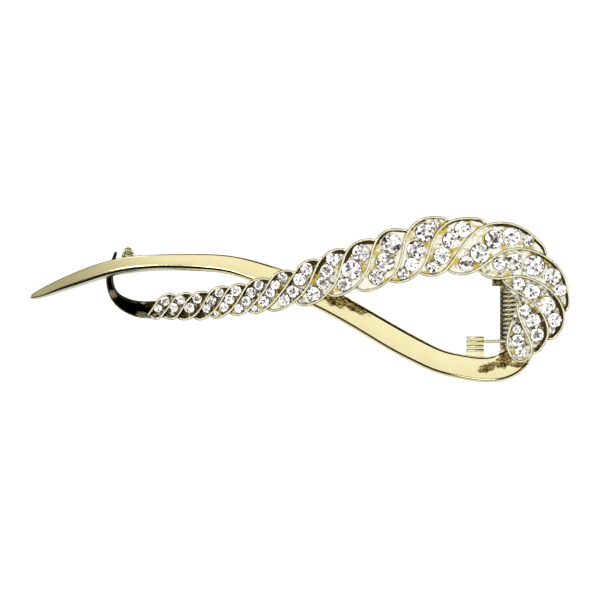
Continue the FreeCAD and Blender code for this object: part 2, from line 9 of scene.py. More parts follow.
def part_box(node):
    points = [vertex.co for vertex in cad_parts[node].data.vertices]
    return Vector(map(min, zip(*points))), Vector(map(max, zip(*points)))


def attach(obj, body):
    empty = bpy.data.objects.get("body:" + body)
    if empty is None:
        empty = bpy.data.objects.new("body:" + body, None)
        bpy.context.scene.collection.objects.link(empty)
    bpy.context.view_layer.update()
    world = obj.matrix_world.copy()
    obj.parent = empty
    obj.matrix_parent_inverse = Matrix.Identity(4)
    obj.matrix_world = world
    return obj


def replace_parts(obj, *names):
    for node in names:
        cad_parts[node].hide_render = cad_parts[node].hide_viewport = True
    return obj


# A gold-plated hair clip: a plain ribbon and a jewelled braid make the arched upper jaw, and a sprung
# lower jaw lies under it. Lengths are in millimetres here, and become metres when a mesh is made.
# +X runs towards the thumb levers, +Z up towards the jewelled face.

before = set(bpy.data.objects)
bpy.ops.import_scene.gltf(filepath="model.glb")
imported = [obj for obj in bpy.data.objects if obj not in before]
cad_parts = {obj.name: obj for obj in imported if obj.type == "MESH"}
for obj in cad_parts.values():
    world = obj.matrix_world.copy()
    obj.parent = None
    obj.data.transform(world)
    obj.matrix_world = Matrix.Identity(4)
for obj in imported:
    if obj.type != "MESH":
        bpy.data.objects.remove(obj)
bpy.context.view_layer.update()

MM = 0.001
UPPER = "upper_jaw_body"
LOWER = "lower_jaw_body"
RNG = np.random.default_rng(7)

# -------------------- the clip's own sizes

RIBBON_GAUGE = 1.2
TRAY_GAUGE = 0.9
RIM_WIDTH = 0.64
RIM_HEIGHT = 1.1
# How deep a rim's foot is sunk, how high the middle corners of its sides are, and its ends' dip.
RIM_SINK = 0.4
RIM_MIDDLE = 0.5
RIM_DIP = 0.25
RIM_DIP_REACH = 1.2
JAW_GAUGE = 1.0
PIN_RADIUS = 0.75
WIRE_RADIUS = 0.4
COIL_RADIUS = 1.4
COIL_PITCH = 0.905
COIL_TURNS = 11 + 50 / 360
COIL_FROM = -8.3
LEVER_LEG_SLOPE = math.radians(50)
# How much of a turn both halves of the split spring have, and how far the anchor leg reaches.
SHARED_TURN = 0.13
ANCHOR_LEG_REACH = 6.4
# The rise across the front of the lower jaw's band for each millimetre of width.
JAW_LEAN = math.tan(math.radians(24))
# How far a rim runs past the line of the rim it meets, and how near counts as meeting it.
RIM_OVERRUN = 0.3
RIM_TOUCH = 0.25
# How far the lobes' floors stand above the tray.
FLOOR_SKIN = 0.07
# A stone's heights as shares of its diameter.
FOOT_TO_TABLE = 0.37
FOOT_TO_STARS = 0.315
GIRDLE_TOP = 0.24
GIRDLE_LOW = 0.2
# How much wider than its CAD stand-in a stone may grow, and how far it reaches under a rim.
STONE_GROWTH = 1.24
RIM_LAP = 0.14
# How high a stone sits above the tray, and how far it may lean, in radians.
STONE_LIFT = 0.04
STONE_LEAN = 0.05

# The arch: the height of the ribbon's upper face, which is also the braid's underside, as x, z.
ARCH = [
    (-54.5, 3.3), (-45.0, 5.0), (-37.0, 6.7), (-28.0, 9.0), (-15.0, 12.3), (0.0, 14.8),
    (12.0, 15.5), (24.0, 15.0), (34.0, 13.9), (42.0, 13.2), (48.0, 13.4), (54.5, 14.6),
]
# The lower jaw's underside: flat on the table, then rising towards the hook.
JAW_UNDERSIDE = [
    (-42.0, 2.9), (-35.0, 4.7), (-31.5, 5.2), (-27.0, 4.7), (-20.0, 2.9), (-12.0, 0.9), (-3.0, 0.0),
    (6.0, 0.0), (54.5, 0.0),
]
# Centre line and width of the plain ribbon: x, y, width.
RIBBON = [
    (-54.2, 0.4, 0.9), (-52.2, 1.2, 1.8), (-50.0, 2.1, 2.3), (-44.0, 4.4, 3.1), (-38.0, 6.3, 3.3),
    (-34.4, 7.0, 3.4), (-28.0, 7.5, 3.3), (-20.0, 7.5, 3.5), (-14.0, 7.0, 3.8), (-10.0, 6.0, 4.2),
    (-3.6, 3.8, 4.6), (5.8, -0.3, 4.9), (14.0, -4.9, 5.0), (20.0, -8.4, 5.1), (24.0, -10.5, 5.0),
    (28.0, -12.3, 4.9), (32.0, -13.3, 4.9), (36.0, -13.9, 5.0), (40.2, -13.5, 5.4), (43.4, -11.6, 5.2),
    (45.2, -8.6, 3.6),
]
# Widths along the ribbon, as x, width: its lower slope, and its rolled lower and upper edges.
LOW_SLOPE = [
    (-52, 0.36), (-48, 0.6), (-40, 0.68), (-34, 0.82), (-26, 0.6), (-16, 0.42), (-6, 0.3), (4, 0.35),
]
LOW_ROLL = [(-52, 0.32), (-46, 0.9), (-38, 1.15), (-28, 1.05), (-16, 0.85), (0, 0.65)]
HIGH_ROLL = [(-30, 0.12), (-14, 0.3), (2, 0.85), (22, 0.85), (32, 0.45)]
# Centre line and width of the lower jaw's band, from the hook to the lever.
JAW = [
    (-36.9, 9.8, 0.8), (-37.4, 8.2, 0.9), (-38.1, 6.0, 1.3), (-38.2, 4.0, 1.6), (-37.8, 2.0, 1.8),
    (-36.8, 0.4, 2.3), (-35.4, -0.7, 2.8), (-33.6, -1.5, 3.2), (-31.8, -1.9, 3.5), (-28.0, -1.8, 3.5),
    (-20.0, -1.0, 3.2), (-10.0, 0.6, 3.4), (0.0, 3.2, 3.8), (10.0, 6.0, 4.0), (20.0, 9.0, 4.2),
    (30.0, 10.6, 4.4), (37.0, 10.4, 4.6), (42.0, 9.0, 5.0),
]
# Centre line and width of the lower thumb lever, which is the band's wide end.
LEVER = [
    (37.4, 10.5, 3.9), (40.6, 10.2, 5.2), (44.0, 8.2, 7.0), (46.0, 4.8, 9.4), (46.6, 1.5, 10.8),
    (46.2, -3.0, 9.8), (44.9, -7.2, 7.0), (43.2, -10.2, 3.2),
]
# The rims: each starts on the braid's lower edge, crosses it and runs out along its upper edge.
# The last one is the teardrop's loop.
RIMS = [
    [(-30.9, -3.6), (-29.8, -2.2), (-28.4, -0.2), (-27.2, 0.9), (-26.0, 1.2)],
    [(-28.6, -3.7), (-27.1, -2.5), (-25.8, -0.7), (-24.5, 0.8), (-22.4, 1.3)],
    [(-26.8, -3.5), (-25.4, -3.7), (-23.8, -2.2), (-22.6, -0.2), (-21.2, 1.1), (-19.2, 1.6)],
    [(-23.6, -3.8), (-21.4, -3.3), (-20.0, -1.9), (-18.8, 0.1), (-17.6, 1.8), (-16.4, 2.5), (-15.0, 2.6)],
    [(-20.4, -3.8), (-18.0, -2.9), (-16.4, -1.2), (-15.2, 0.8), (-13.9, 2.5), (-11.8, 3.1)],
    [(-17.0, -3.5), (-14.4, -2.5), (-12.8, -0.8), (-11.6, 1.2), (-10.2, 3.2), (-8.6, 4.1), (-7.0, 4.2)],
    [(-13.2, -2.9), (-10.8, -2.3), (-8.8, -0.3), (-7.2, 1.7), (-5.9, 3.9), (-4.6, 5.3), (-2.4, 5.8)],
    [(-9.6, -2.5), (-7.4, -2.1), (-5.6, -0.7), (-3.2, 2.2), (-1.2, 5.2), (0.4, 7.2), (2.8, 8.0)],
    [(-6.0, -2.0), (-3.6, -1.7), (-1.0, -0.2), (1.2, 2.1), (2.6, 5.0), (3.9, 7.7), (5.8, 9.5),
     (8.2, 10.1)],
    [(0.0, -0.9), (2.4, -0.7), (5.6, 1.4), (7.4, 4.2), (8.4, 7.2), (9.6, 10.0), (11.8, 11.7),
     (14.4, 12.0)],
    [(6.6, 0.8), (9.0, 1.4), (11.4, 3.0), (13.4, 6.2), (14.4, 9.6), (15.6, 12.4), (17.6, 13.9),
     (20.8, 13.9)],
    [(12.0, 2.0), (17.0, 3.4), (19.6, 6.4), (20.6, 10.4), (21.7, 13.8), (24.0, 15.9), (26.4, 16.5),
     (29.2, 16.0)],
    [(18.4, 3.7), (22.4, 4.5), (25.0, 7.4), (26.4, 11.4), (28.2, 14.4), (31.0, 16.0), (33.6, 16.3),
     (36.4, 15.8)],
    [(24.8, 5.1), (28.0, 5.3), (30.6, 7.9), (33.2, 11.7), (36.2, 14.4), (40.0, 15.4), (44.4, 14.3),
     (47.4, 12.0), (49.0, 9.6)],
    [(30.4, 5.5), (34.4, 5.6), (38.0, 8.0), (41.4, 9.9), (45.0, 10.1), (49.0, 8.6), (52.3, 5.4),
     (53.5, 1.4), (53.2, -1.8)],
    [(36.6, 5.1), (39.4, 4.3), (43.2, 4.7), (47.0, 3.8), (50.2, 1.7), (52.2, -1.2), (52.6, -4.4),
     (51.4, -6.8), (50.2, -7.7)],
    [(40.6, 3.8), (43.4, 1.6), (47.0, -1.0), (49.0, -4.2), (49.4, -7.0), (48.4, -9.2), (47.0, -10.5)],
    [(43.4, 0.0), (43.5, -2.2), (44.6, -5.4), (46.1, -9.0), (46.0, -11.0), (44.0, -12.3), (42.0, -11.0),
     (41.4, -8.4), (42.0, -5.4), (42.8, -3.4)],
]


# -------------------- curves

class Curve:
    """A smooth curve through points. Columns after the first two, such as a width, are carried along."""

    def __init__(self, points):
        self.points = np.array(points, float)
        steps = np.linalg.norm(np.diff(self.points[:, :2], axis=0), axis=1)
        self.knots = np.concatenate(([0.0], np.cumsum(steps)))
        secants = np.diff(self.points, axis=0) / steps[:, None]
        count = len(self.points)
        matrix = np.eye(count)
        right = np.empty_like(self.points)
        right[0] = secants[0] + (secants[0] - secants[1]) * steps[0] / (steps[0] + steps[1])
        right[-1] = secants[-1] + (secants[-1] - secants[-2]) * steps[-1] / (steps[-1] + steps[-2])
        for k in range(1, count - 1):
            before = 1 / steps[k - 1]
            after = 1 / steps[k]
            matrix[k, k - 1:k + 2] = before, 2 * (before + after), after
            right[k] = 3 * (secants[k - 1] * before + secants[k] * after)
        self.slopes = np.linalg.solve(matrix, right)

    @property
    def length(self):
        return self.knots[-1]

    def at(self, t):
        """The points at t, an array of fractions of the length."""
        u = np.asarray(t, float) * self.length
        k = np.clip(np.searchsorted(self.knots, u, side="right") - 1, 0, len(self.knots) - 2)
        step = (self.knots[k + 1] - self.knots[k])[:, None]
        s = (u - self.knots[k])[:, None] / step
        start = (1 + 2 * s) * (1 - s) ** 2 * self.points[k] + s * (1 - s) ** 2 * step * self.slopes[k]
        end = s ** 2 * (3 - 2 * s) * self.points[k + 1] + s ** 2 * (s - 1) * step * self.slopes[k + 1]
        return start + end


def height_curve(points):
    """A function that gives the height at x on a curve of (x, z) points."""
    dense = Curve(points).at(np.linspace(0, 1, 800))
    return lambda x: float(np.interp(x, dense[:, 0], dense[:, 1]))


arch = height_curve(ARCH)
jaw_underside = height_curve(JAW_UNDERSIDE)


def arch_slope(x):
    """The arch's angle at x, in radians."""
    step = 0.5
    return math.atan2(arch(x + step) - arch(x - step), 2 * step)


def between(pairs, x):
    """The value at x, on straight lines between (x, value) pairs."""
    return float(np.interp(x, *zip(*pairs)))


def circle(count):
    """The angles of evenly spaced points round a circle."""
    return [2 * math.pi * k / count for k in range(count)]


def bend(start, corner, end, steps):
    """A smooth bend from start to end that would meet at the corner."""
    start, corner, end = (np.array(point, float) for point in (start, corner, end))
    return [
        (1 - s) ** 2 * start + 2 * s * (1 - s) * corner + s * s * end for s in np.linspace(0, 1, steps)
    ]


def rounded(corners, cuts, steps=5):
    """A closed outline whose corners are rounded, each from a cut before it to a cut after it."""
    outline = []
    count = len(corners)
    for k, (corner, cut) in enumerate(zip(corners, cuts)):
        here = np.array(corner, float)
        ends = []
        for other in (corners[k - 1], corners[(k + 1) % count]):
            away = np.array(other, float) - here
            reach = np.linalg.norm(away)
            # less than half a side, so that the cuts at its two ends stay apart
            ends.append(here + away * (min(cut, reach * 0.49) / reach))
        outline += bend(ends[0], here, ends[1], steps)
    return np.array(outline)


def rectangle(left, right, low, high, cut):
    """The outline of a rectangle with rounded corners."""
    return rounded([(left, low), (left, high), (right, high), (right, low)], [cut] * 4)


# -------------------- meshes

def turn_outwards(mesh):
    """Makes every face of the mesh look away from its solid."""
    grid = bmesh.new()
    grid.from_mesh(mesh)
    bmesh.ops.recalc_face_normals(grid, faces=grid.faces)
    grid.to_mesh(mesh)
    grid.free()


def add_object(name, data):
    """A new object in the scene."""
    item = bpy.data.objects.new(name, data)
    bpy.context.scene.collection.objects.link(item)
    return item


def piece(name, vertices, faces, finish, body, slot, sharp_degrees=35, smooth=True):
    """A new mesh piece, given in millimetres, with its material and body. The slot is not used."""
    mesh = bpy.data.meshes.new(name)
    mesh.from_pydata([tuple(v * MM for v in vertex) for vertex in vertices], [], faces)
    mesh.validate()
    turn_outwards(mesh)
    if smooth:
        mesh.polygons.foreach_set("use_smooth", [True] * len(mesh.polygons))
        mesh.set_sharp_from_angle(angle=math.radians(sharp_degrees))
    item = add_object(name, mesh)
    for entry in finish if isinstance(finish, list) else [finish]:
        mesh.materials.append(entry)
    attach(item, body)
    return item


def refinish(item, finish):
    """Gives a CAD node's mesh one material."""
    item.data.materials.clear()
    item.data.materials.append(finish)


def smooth_step(value, low, high):
    """0 below low, 1 above high, and a smooth rise between them."""
    s = min(1.0, max(0.0, (value - low) / (high - low)))
    return s * s * (3 - 2 * s)


def store_shade(item, levels):
    """Stores a level from 0 to 1 for each vertex, for the material to read."""
    item.data.attributes.new("shade", "FLOAT", "POINT").data.foreach_set("value", levels)


def paint(item, shade):
    """Stores the shade of each vertex, from its place in millimetres and its normal."""
    store_shade(item, [shade(vertex.co / MM, vertex.normal) for vertex in item.data.vertices])


class Shell:
    """Vertices and faces that grow by lofts, and can hold many separate closed solids."""

    def __init__(self):
        self.vertices = []
        self.faces = []

    def loft(self, sections):
        """A closed solid through closed sections with equal counts of points."""
        base = len(self.vertices)
        count = len(sections[0])
        for section in sections:
            self.vertices += [tuple(point) for point in section]
        for k in range(len(sections) - 1):
            low = base + k * count
            high = low + count
            for j in range(count):
                n = (j + 1) % count
                self.faces.append((low + j, low + n, high + n, high + j))
        self.faces.append(tuple(base + j for j in reversed(range(count))))
        last = base + (len(sections) - 1) * count
        self.faces.append(tuple(last + j for j in range(count)))

    def piece(self, name, finish, body, slot, **how):
        return piece(name, self.vertices, self.faces, finish, body, slot, **how)


def strip_sections(curve, count, profile, height):
    """Sections across a plan curve. profile gives (offset, height) pairs at one station."""
    t = np.linspace(0, 1, count)
    stations = curve.at(t)
    tangents = np.gradient(stations[:, :2], axis=0)
    tangents /= np.linalg.norm(tangents, axis=1)[:, None]
    sections = []
    for fraction, station, (tx, ty) in zip(t, stations, tangents):
        section = []
        for offset, rise in profile(fraction, station):
            x = station[0] - ty * offset
            y = station[1] + tx * offset
            section.append((x, y, height(x) + rise))
        sections.append(section)
    return sections


def end_taper(distance, reach):
    """1 away from an end, and a quarter circle's fall over the last reach, to a blunt 0.12."""
    left = max(0.0, 1 - distance / reach)
    return max(0.12, math.sqrt(1 - left * left))


def tube_sections(path, radius, sides=12):
    """Round sections along a path of 3-D points, turned as little as possible between points."""
    path = np.array(path, float)
    tangents = np.gradient(path, axis=0)
    tangents /= np.linalg.norm(tangents, axis=1)[:, None]
    # any direction will do that isn't the path's own
    across = np.cross(tangents[0], (0.3, 0.2, 0.9))
    sections = []
    for point, tangent in zip(path, tangents):
        across = across - tangent * np.dot(across, tangent)
        across /= np.linalg.norm(across)
        other = np.cross(tangent, across)
        sections.append(
            [point + radius * (across * math.cos(a) + other * math.sin(a)) for a in circle(sides)]
        )
    return sections


def turned_sections(centre, profile, sides=32):
    """Sections of a solid turned about the line along Y through centre, from (radius, y) pairs."""
    x, y, z = centre
    return [
        [(x + radius * math.sin(a), y + rise, z + radius * math.cos(a)) for a in circle(sides)]
        for radius, rise in profile
    ]


# -------------------- materials

# How fine the scratches and the speckles in the painted floor shade are, as noise scales, and the scratches'
# depth.
SCRATCH_SCALE = 2400.0
SPECKLE_SCALE = 1300.0
SCRATCH_DEPTH = 0.02
# Dark colours of painted shade, with some grime, for crevices and shaded places: on the tray and the bracket,
# on the rims, and on the spring.
GRIME_AND_SHADE = (0.05, 0.034, 0.012)
RIM_SHADE = (0.1, 0.075, 0.03)
COIL_SHADE = (0.012, 0.009, 0.004)
# A painted mark's two colours and its roughness: dark painted reflections, and pale painted glints.
DARK_REFLECTION_MARK = ((0.035, 0.022, 0.005), (0.42, 0.30, 0.09), 0.12)
GLINT_MARK = ((0.8, 0.7, 0.42), (0.5, 0.42, 0.24), 0.5)
# Brown painted reflections where the ribbon passes under the braid and round the hinge: x, y, long, wide,
# turn.
RIBBON_REFLECTIONS = [
    (7.4, 0.0, 4.2, 1.9, -20), (11.2, -1.7, 4.4, 1.1, -25), (37.5, -13.5, 3.0, 1.2, 18),
    (40.9, -12.2, 3.0, 1.7, 25), (43.9, -13.0, 2.8, 0.7, 0), (40.8, -10.4, 1.9, 1.8, 0),
]
# Painted glints on the dark front of the lower jaw: x, y, long, wide, turn.
JAW_GLINTS = [(-37.5, 1.15, 1.5, 0.8, -60), (-31.4, -0.6, 0.8, 0.3, 0), (-31.8, -2.9, 1.7, 0.8, -8)]


def feed(tree, socket, value):
    """Links a socket to another one, or sets its value."""
    if isinstance(value, bpy.types.NodeSocket):
        tree.links.new(value, socket)
    else:
        socket.default_value = value


def node(tree, kind, **inputs):
    """A shader node. A keyword is one of its properties, or an input's name, or i0, i1 for its number."""
    made = tree.nodes.new(kind)
    for key, value in inputs.items():
        if hasattr(made, key):
            setattr(made, key, value)
        else:
            feed(tree, made.inputs[int(key[1:]) if key[1:].isdigit() else key], value)
    return made


def calc(tree, operation, *values):
    """The result of one arithmetic operation on sockets or numbers."""
    inputs = {f"i{k}": value for k, value in enumerate(values)}
    return node(tree, "ShaderNodeMath", operation=operation, **inputs).outputs[0]


def noise(tree, place, scale, detail=2.0):
    """A soft random pattern between 0 and 1."""
    return node(tree, "ShaderNodeTexNoise", Vector=place, Scale=scale, Detail=detail).outputs["Fac"]


def link_mix(tree, factor, low, high):
    """A colour that goes from low to high with factor; each is a socket or three numbers."""
    mix = node(tree, "ShaderNodeMix", data_type="RGBA", Factor=factor)
    for socket, value in ((mix.inputs[6], low), (mix.inputs[7], high)):
        feed(tree, socket, (*value, 1) if isinstance(value, tuple) else value)
    return mix.outputs[2]


def link_blend(tree, factor, low, high):
    """A number that goes from low to high with factor; each is a socket or a number."""
    return node(tree, "ShaderNodeMix", Factor=factor, i2=low, i3=high).outputs[0]


def link_ramp(tree, value, low, high, to_low=0.0, to_high=1.0):
    """A smooth change from to_low to to_high while value goes from low to high."""
    ends = {"Value": value, "From Min": low, "From Max": high, "To Min": to_low, "To Max": to_high}
    return node(tree, "ShaderNodeMapRange", interpolation_type="SMOOTHSTEP", **ends).outputs["Result"]


def new_material(name, settings):
    """A new material, its node tree and its main shader, which gets the settings."""
    material = bpy.data.materials.new(name)
    material.use_nodes = True
    shader = material.node_tree.nodes["Principled BSDF"]
    for key, value in settings.items():
        shader.inputs[key].default_value = value
    return material, material.node_tree, shader


def with_painted_marks(tree, place, colour, rough, painted_marks, finish):
    """A colour and a roughness with streaky oval painted marks laid over them, painted reflections and
    glints.
    """
    dark, light, mark_roughness = finish
    for x, y, long, wide, turn in painted_marks:
        local = node(
            tree, "ShaderNodeMapping", vector_type="TEXTURE", Vector=place, Location=(x * MM, y * MM, 0),
            Rotation=(0, 0, math.radians(turn)), Scale=(long * MM, wide * MM, 1),
        ).outputs[0]
        # the squared distance from the middle, made ragged by noise
        parts = node(tree, "ShaderNodeSeparateXYZ", Vector=local)
        reach = calc(tree, "MULTIPLY", parts.outputs["X"], parts.outputs["X"])
        reach = calc(tree, "MULTIPLY_ADD", parts.outputs["Y"], parts.outputs["Y"], reach)
        ragged = calc(tree, "MULTIPLY_ADD", noise(tree, local, 2.6, 3.0), 1.6, reach)
        inside = link_ramp(tree, ragged, 1.0, 1.5, 1.0, 0.0)
        fleck = link_ramp(tree, noise(tree, local, 5.0), 0.42, 0.62)
        colour = link_mix(tree, inside, colour, link_mix(tree, fleck, dark, light))
        rough = link_blend(tree, inside, rough, mark_roughness)
    return colour, rough


def plated_metal(
    name, bright, deep, roughness, grain=0.0, patch=260.0, contrast=0.0, tarnish_and_crevice_shade=None, crevice_shade_reach=0.5,
    clear_air=(0.2, 0.7), satin_and_shade=None, painted=None, mottled=False, painted_marks=(), mark_finish=None, glow=0.0,
):
    """Plated metal: a tone that drifts between two golds, with fine scratches.

    patch and contrast are how fine and how strong the drift is, and grain is the scratches' strength.
    The crevice colour, tarnish and painted shade together, is full below clear_air's first openness and gone
    above its second.
    The satin change of finish along x gives where it starts and ends, its colour and its roughness; its
    darker colour is painted shade.
    painted is the colour where the stored shade is 1, broken up by speckles if mottled: painted shade, and on
    the ribbon's blade a pale painted highlight.
    glow is painted light: a little light that the metal gives out, though it is no lamp.
    """
    material, tree, shader = new_material(name, {"Metallic": 1.0, "Emission Strength": glow})
    place = node(tree, "ShaderNodeTexCoord").outputs["Object"]
    drift = link_ramp(tree, noise(tree, place, patch), 0.2 + 0.28 * contrast, 0.8 - 0.2 * contrast)
    colour = link_mix(tree, drift, bright, deep)
    scratch = noise(tree, place, SCRATCH_SCALE, 3.0)
    rough = link_ramp(tree, scratch, 0.0, 1.0, roughness * 0.7, roughness * 1.3)
    # the darker satin colour is painted shade
    if satin_and_shade:
        near, far, satin_shade_colour, satin_roughness = satin_and_shade
        split = node(tree, "ShaderNodeSeparateXYZ", Vector=place)
        plain = link_ramp(tree, split.outputs["X"], far * MM, near * MM)
        colour = link_mix(tree, plain, satin_shade_colour, colour)
        rough = link_blend(tree, plain, satin_roughness, rough)
    # crevices darkened: tarnish and painted shade together
    if tarnish_and_crevice_shade:
        open_air = node(tree, "ShaderNodeAmbientOcclusion", samples=6, Distance=crevice_shade_reach * MM)
        colour = link_mix(tree, link_ramp(tree, open_air.outputs["AO"], *clear_air), tarnish_and_crevice_shade, colour)
    if painted:
        shade = node(tree, "ShaderNodeAttribute", attribute_name="shade").outputs["Fac"]
        if mottled:
            shade = calc(tree, "MULTIPLY_ADD", noise(tree, place, SPECKLE_SCALE), 0.7, shade)
            shade = link_ramp(tree, shade, 0.6, 0.85)
        colour = link_mix(tree, shade, colour, painted)
    colour, rough = with_painted_marks(tree, place, colour, rough, painted_marks, mark_finish or DARK_REFLECTION_MARK)
    tree.links.new(colour, shader.inputs["Base Color"])
    tree.links.new(rough, shader.inputs["Roughness"])
    # painted light: the metal glows in its own colour
    if glow:
        tree.links.new(colour, shader.inputs["Emission Color"])
    if grain:
        bump = node(tree, "ShaderNodeBump", Strength=grain, Distance=SCRATCH_DEPTH * MM, Height=scratch)
        tree.links.new(bump.outputs["Normal"], shader.inputs["Normal"])
    return material


def spark_level(tree, low, high):
    """How much light a facet throws back, from its own random number."""
    spark = node(tree, "ShaderNodeAttribute", attribute_name="spark")
    return link_ramp(tree, spark.outputs["Fac"], low, high)


def crystal(name):
    """Clear cut glass. A few small facets are painted dark: painted shade, as where they turn the light away.
    """
    settings = {"Transmission Weight": 1.0, "IOR": 1.55, "Roughness": 0.0}
    material, tree, shader = new_material(name, settings)
    facet = spark_level(tree, 0.06, 0.2)
    tree.links.new(link_mix(tree, facet, (0.25, 0.24, 0.22), (1.0, 1.0, 1.0)), shader.inputs["Base Color"])
    return material


def foil(name):
    """The silver foil behind a stone: its facets are painted bright or dark at random, painted reflections,
    and it glows a little with painted light.
    """
    settings = {"Metallic": 1.0, "Roughness": 0.15, "Emission Strength": 0.7}
    material, tree, shader = new_material(name, settings)
    tone = link_mix(tree, spark_level(tree, 0.02, 0.7), (0.03, 0.027, 0.022), (1.0, 0.98, 0.95))
    tree.links.new(tone, shader.inputs["Base Color"])
    tree.links.new(tone, shader.inputs["Emission Color"])
    return material


# The ribbon: the blade's satin has a darker colour that is painted shade, its lower slope takes a pale
# painted highlight, and brown painted reflections lie where it passes under the braid and round the hinge.
RIBBON_GOLD = plated_metal(
    "ribbon_gold", (0.96, 0.88, 0.52), (0.93, 0.83, 0.46), 0.08,
    satin_and_shade=(-22.0, -50.0, (0.44, 0.39, 0.21), 0.2), painted=(0.80, 0.78, 0.64), painted_marks=RIBBON_REFLECTIONS,
)
# The rims: crevices and sides darkened with painted shade.
RIM_GOLD = plated_metal(
    "rim_gold", (1.0, 0.95, 0.70), (0.96, 0.88, 0.55), 0.16, grain=0.1, tarnish_and_crevice_shade=RIM_SHADE,
    crevice_shade_reach=0.1, painted=RIM_SHADE,
)
# The tray: crevices darkened with tarnish and painted shade, and the floors darkened by their stored level,
# speckled, with painted shadow under the outer rims.
TRAY_GOLD = plated_metal(
    "tray_gold", (1.0, 0.98, 0.84), (0.66, 0.50, 0.12), 0.2, grain=0.2, patch=420.0, contrast=0.9,
    tarnish_and_crevice_shade=GRIME_AND_SHADE, crevice_shade_reach=0.3, painted=GRIME_AND_SHADE, mottled=True,
)
# Dark metal: the painted shadow rings round the stones, and the inner lug.
DARK_METAL = plated_metal(
    "dark_metal", (0.30, 0.23, 0.10), (0.03, 0.02, 0.01), 0.3, patch=1200.0, contrast=0.9,
)
# The fittings' crevices are darkened with tarnish and painted shade.
FITTING_GOLD = plated_metal(
    "fitting_gold", (0.97, 0.92, 0.56), (0.90, 0.80, 0.40), 0.2, grain=0.3, tarnish_and_crevice_shade=(0.16, 0.1, 0.03),
    crevice_shade_reach=0.4,
)
BLOCK_GOLD = plated_metal("block_gold", (1.0, 0.97, 0.66), (0.95, 0.88, 0.5), 0.2, grain=0.2)
# The lower jaw's front is painted near black, a painted dark reflection, with pale painted glints on it.
JAW_GOLD = plated_metal(
    "jaw_gold", (0.90, 0.80, 0.46), (0.82, 0.70, 0.34), 0.05, painted_marks=JAW_GLINTS, mark_finish=GLINT_MARK,
    satin_and_shade=(-22.0, -28.0, (0.05, 0.04, 0.022), 0.1),
)
# The spring's wire: gaps, inside and crevices darkened with painted shade, and a little painted glow that
# brightens it.
SPRING_GOLD = plated_metal(
    "spring_wire", (1.0, 0.94, 0.70), (0.90, 0.80, 0.50), 0.24, tarnish_and_crevice_shade=COIL_SHADE,
    crevice_shade_reach=0.35, clear_air=(0.15, 0.5), painted=COIL_SHADE, glow=0.16,
)
# The bracket's crevices are darkened with tarnish and painted shade.
BRACKET_GOLD = plated_metal(
    "bracket_gold", (0.72, 0.62, 0.32), (0.30, 0.23, 0.09), 0.25, grain=0.2, patch=500.0, contrast=0.3,
    tarnish_and_crevice_shade=GRIME_AND_SHADE, crevice_shade_reach=0.5,
)
STONE_FOIL = foil("stone_foil")
STONE_GLASS = crystal("stone_glass")


# -------------------- upper jaw

def ribbon_profile(fraction, station):
    """A slightly crowned face. The lower side slopes, most on the blade, and both edges are rolled."""
    x, _, width = station
    tip = end_taper(fraction * ribbon_line.length, 0.5)
    half = width / 2 * tip
    slope = between(LOW_SLOPE, x) * tip
    low_roll = between(LOW_ROLL, x) * tip
    high_roll = between(HIGH_ROLL, x) * tip
    high_edge = half - 0.12 * tip
    low_corner = np.array([-half + slope, 0.0])
    down = np.array([-slope, -RIBBON_GAUGE])
    down *= min(0.45, low_roll) / np.linalg.norm(down)
    face_from = low_corner[0] + low_roll
    face_to = high_edge - high_roll
    crown = 0.07 * tip

    def face(offset):
        return offset, -crown * (offset / half) ** 2

    outline = [(-half, -RIBBON_GAUGE)]
    outline += bend(low_corner + down, low_corner, face(face_from), 7)
    outline += [face(offset) for offset in np.linspace(face_from, face_to, 7)[1:-1]]
    outline += bend(face(face_to), (high_edge, 0.0), (half, -min(0.55, high_roll)), 7)
    outline.append((half, -RIBBON_GAUGE))
    return outline


def blade_slope_highlight(place, normal):
    """Where the ribbon takes a pale painted highlight, a painted reflection: on the lower slope, and only
    along the blade.
    """
    slope = (1 - smooth_step(normal.z, 0.55, 0.75)) * smooth_step(-normal.y, 0.2, 0.5)
    return slope * (1 - smooth_step(place.x, -24.0, -8.0))


ribbon_line = Curve(RIBBON)
ribbon = Shell()
ribbon.loft(strip_sections(ribbon_line, 220, ribbon_profile, arch))
ribbon_blade = ribbon.piece("ribbon_blade", RIBBON_GOLD, UPPER, "ribbon_gold", sharp_degrees=60)
# a pale painted highlight on the blade's lower slope
paint(ribbon_blade, blade_slope_highlight)
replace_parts(ribbon_blade, "plain_ribbon")


def nearest_fraction(line, spot):
    """Where on a line, as a fraction of its length, it comes nearest to a spot."""
    fractions = np.linspace(0, 1, 400)
    away = line.at(fractions)[:, :2] - spot[:2]
    return fractions[np.argmin(np.hypot(away[:, 0], away[:, 1]))]


def joined_rims():
    """The rims' lines, each carried on at both ends to meet the rims before and after it."""
    lines = [Curve(points) for points in RIMS]
    joined = []
    for k, line in enumerate(lines[:-1]):
        points = [tuple(point) for point in line.points]
        end = line.points[-1]
        after = lines[k + 1]
        meeting = after.at([min(1.0, nearest_fraction(after, end) + RIM_OVERRUN / after.length)])[0]
        if np.linalg.norm(meeting - end) > RIM_TOUCH:
            points.append(tuple(meeting))
        if k:
            start = line.points[0]
            before = lines[k - 1]
            meeting = before.at([max(0.0, nearest_fraction(before, start) - RIM_OVERRUN / before.length)])[0]
            if np.linalg.norm(meeting - start) > RIM_TOUCH:
                points.insert(0, tuple(meeting))
        joined.append(Curve(points))
    return joined + [lines[-1]]


rim_lines = joined_rims()


def rim_painted_shade(place, normal):
    """Painted shade on the rims' sides, strongest under the top edges."""
    above_floor = place.z - arch(place.x) - TRAY_GAUGE
    return 0.9 * (1 - smooth_step(normal.z, 0.15, 0.55)) * smooth_step(above_floor, -0.2, 0.45)


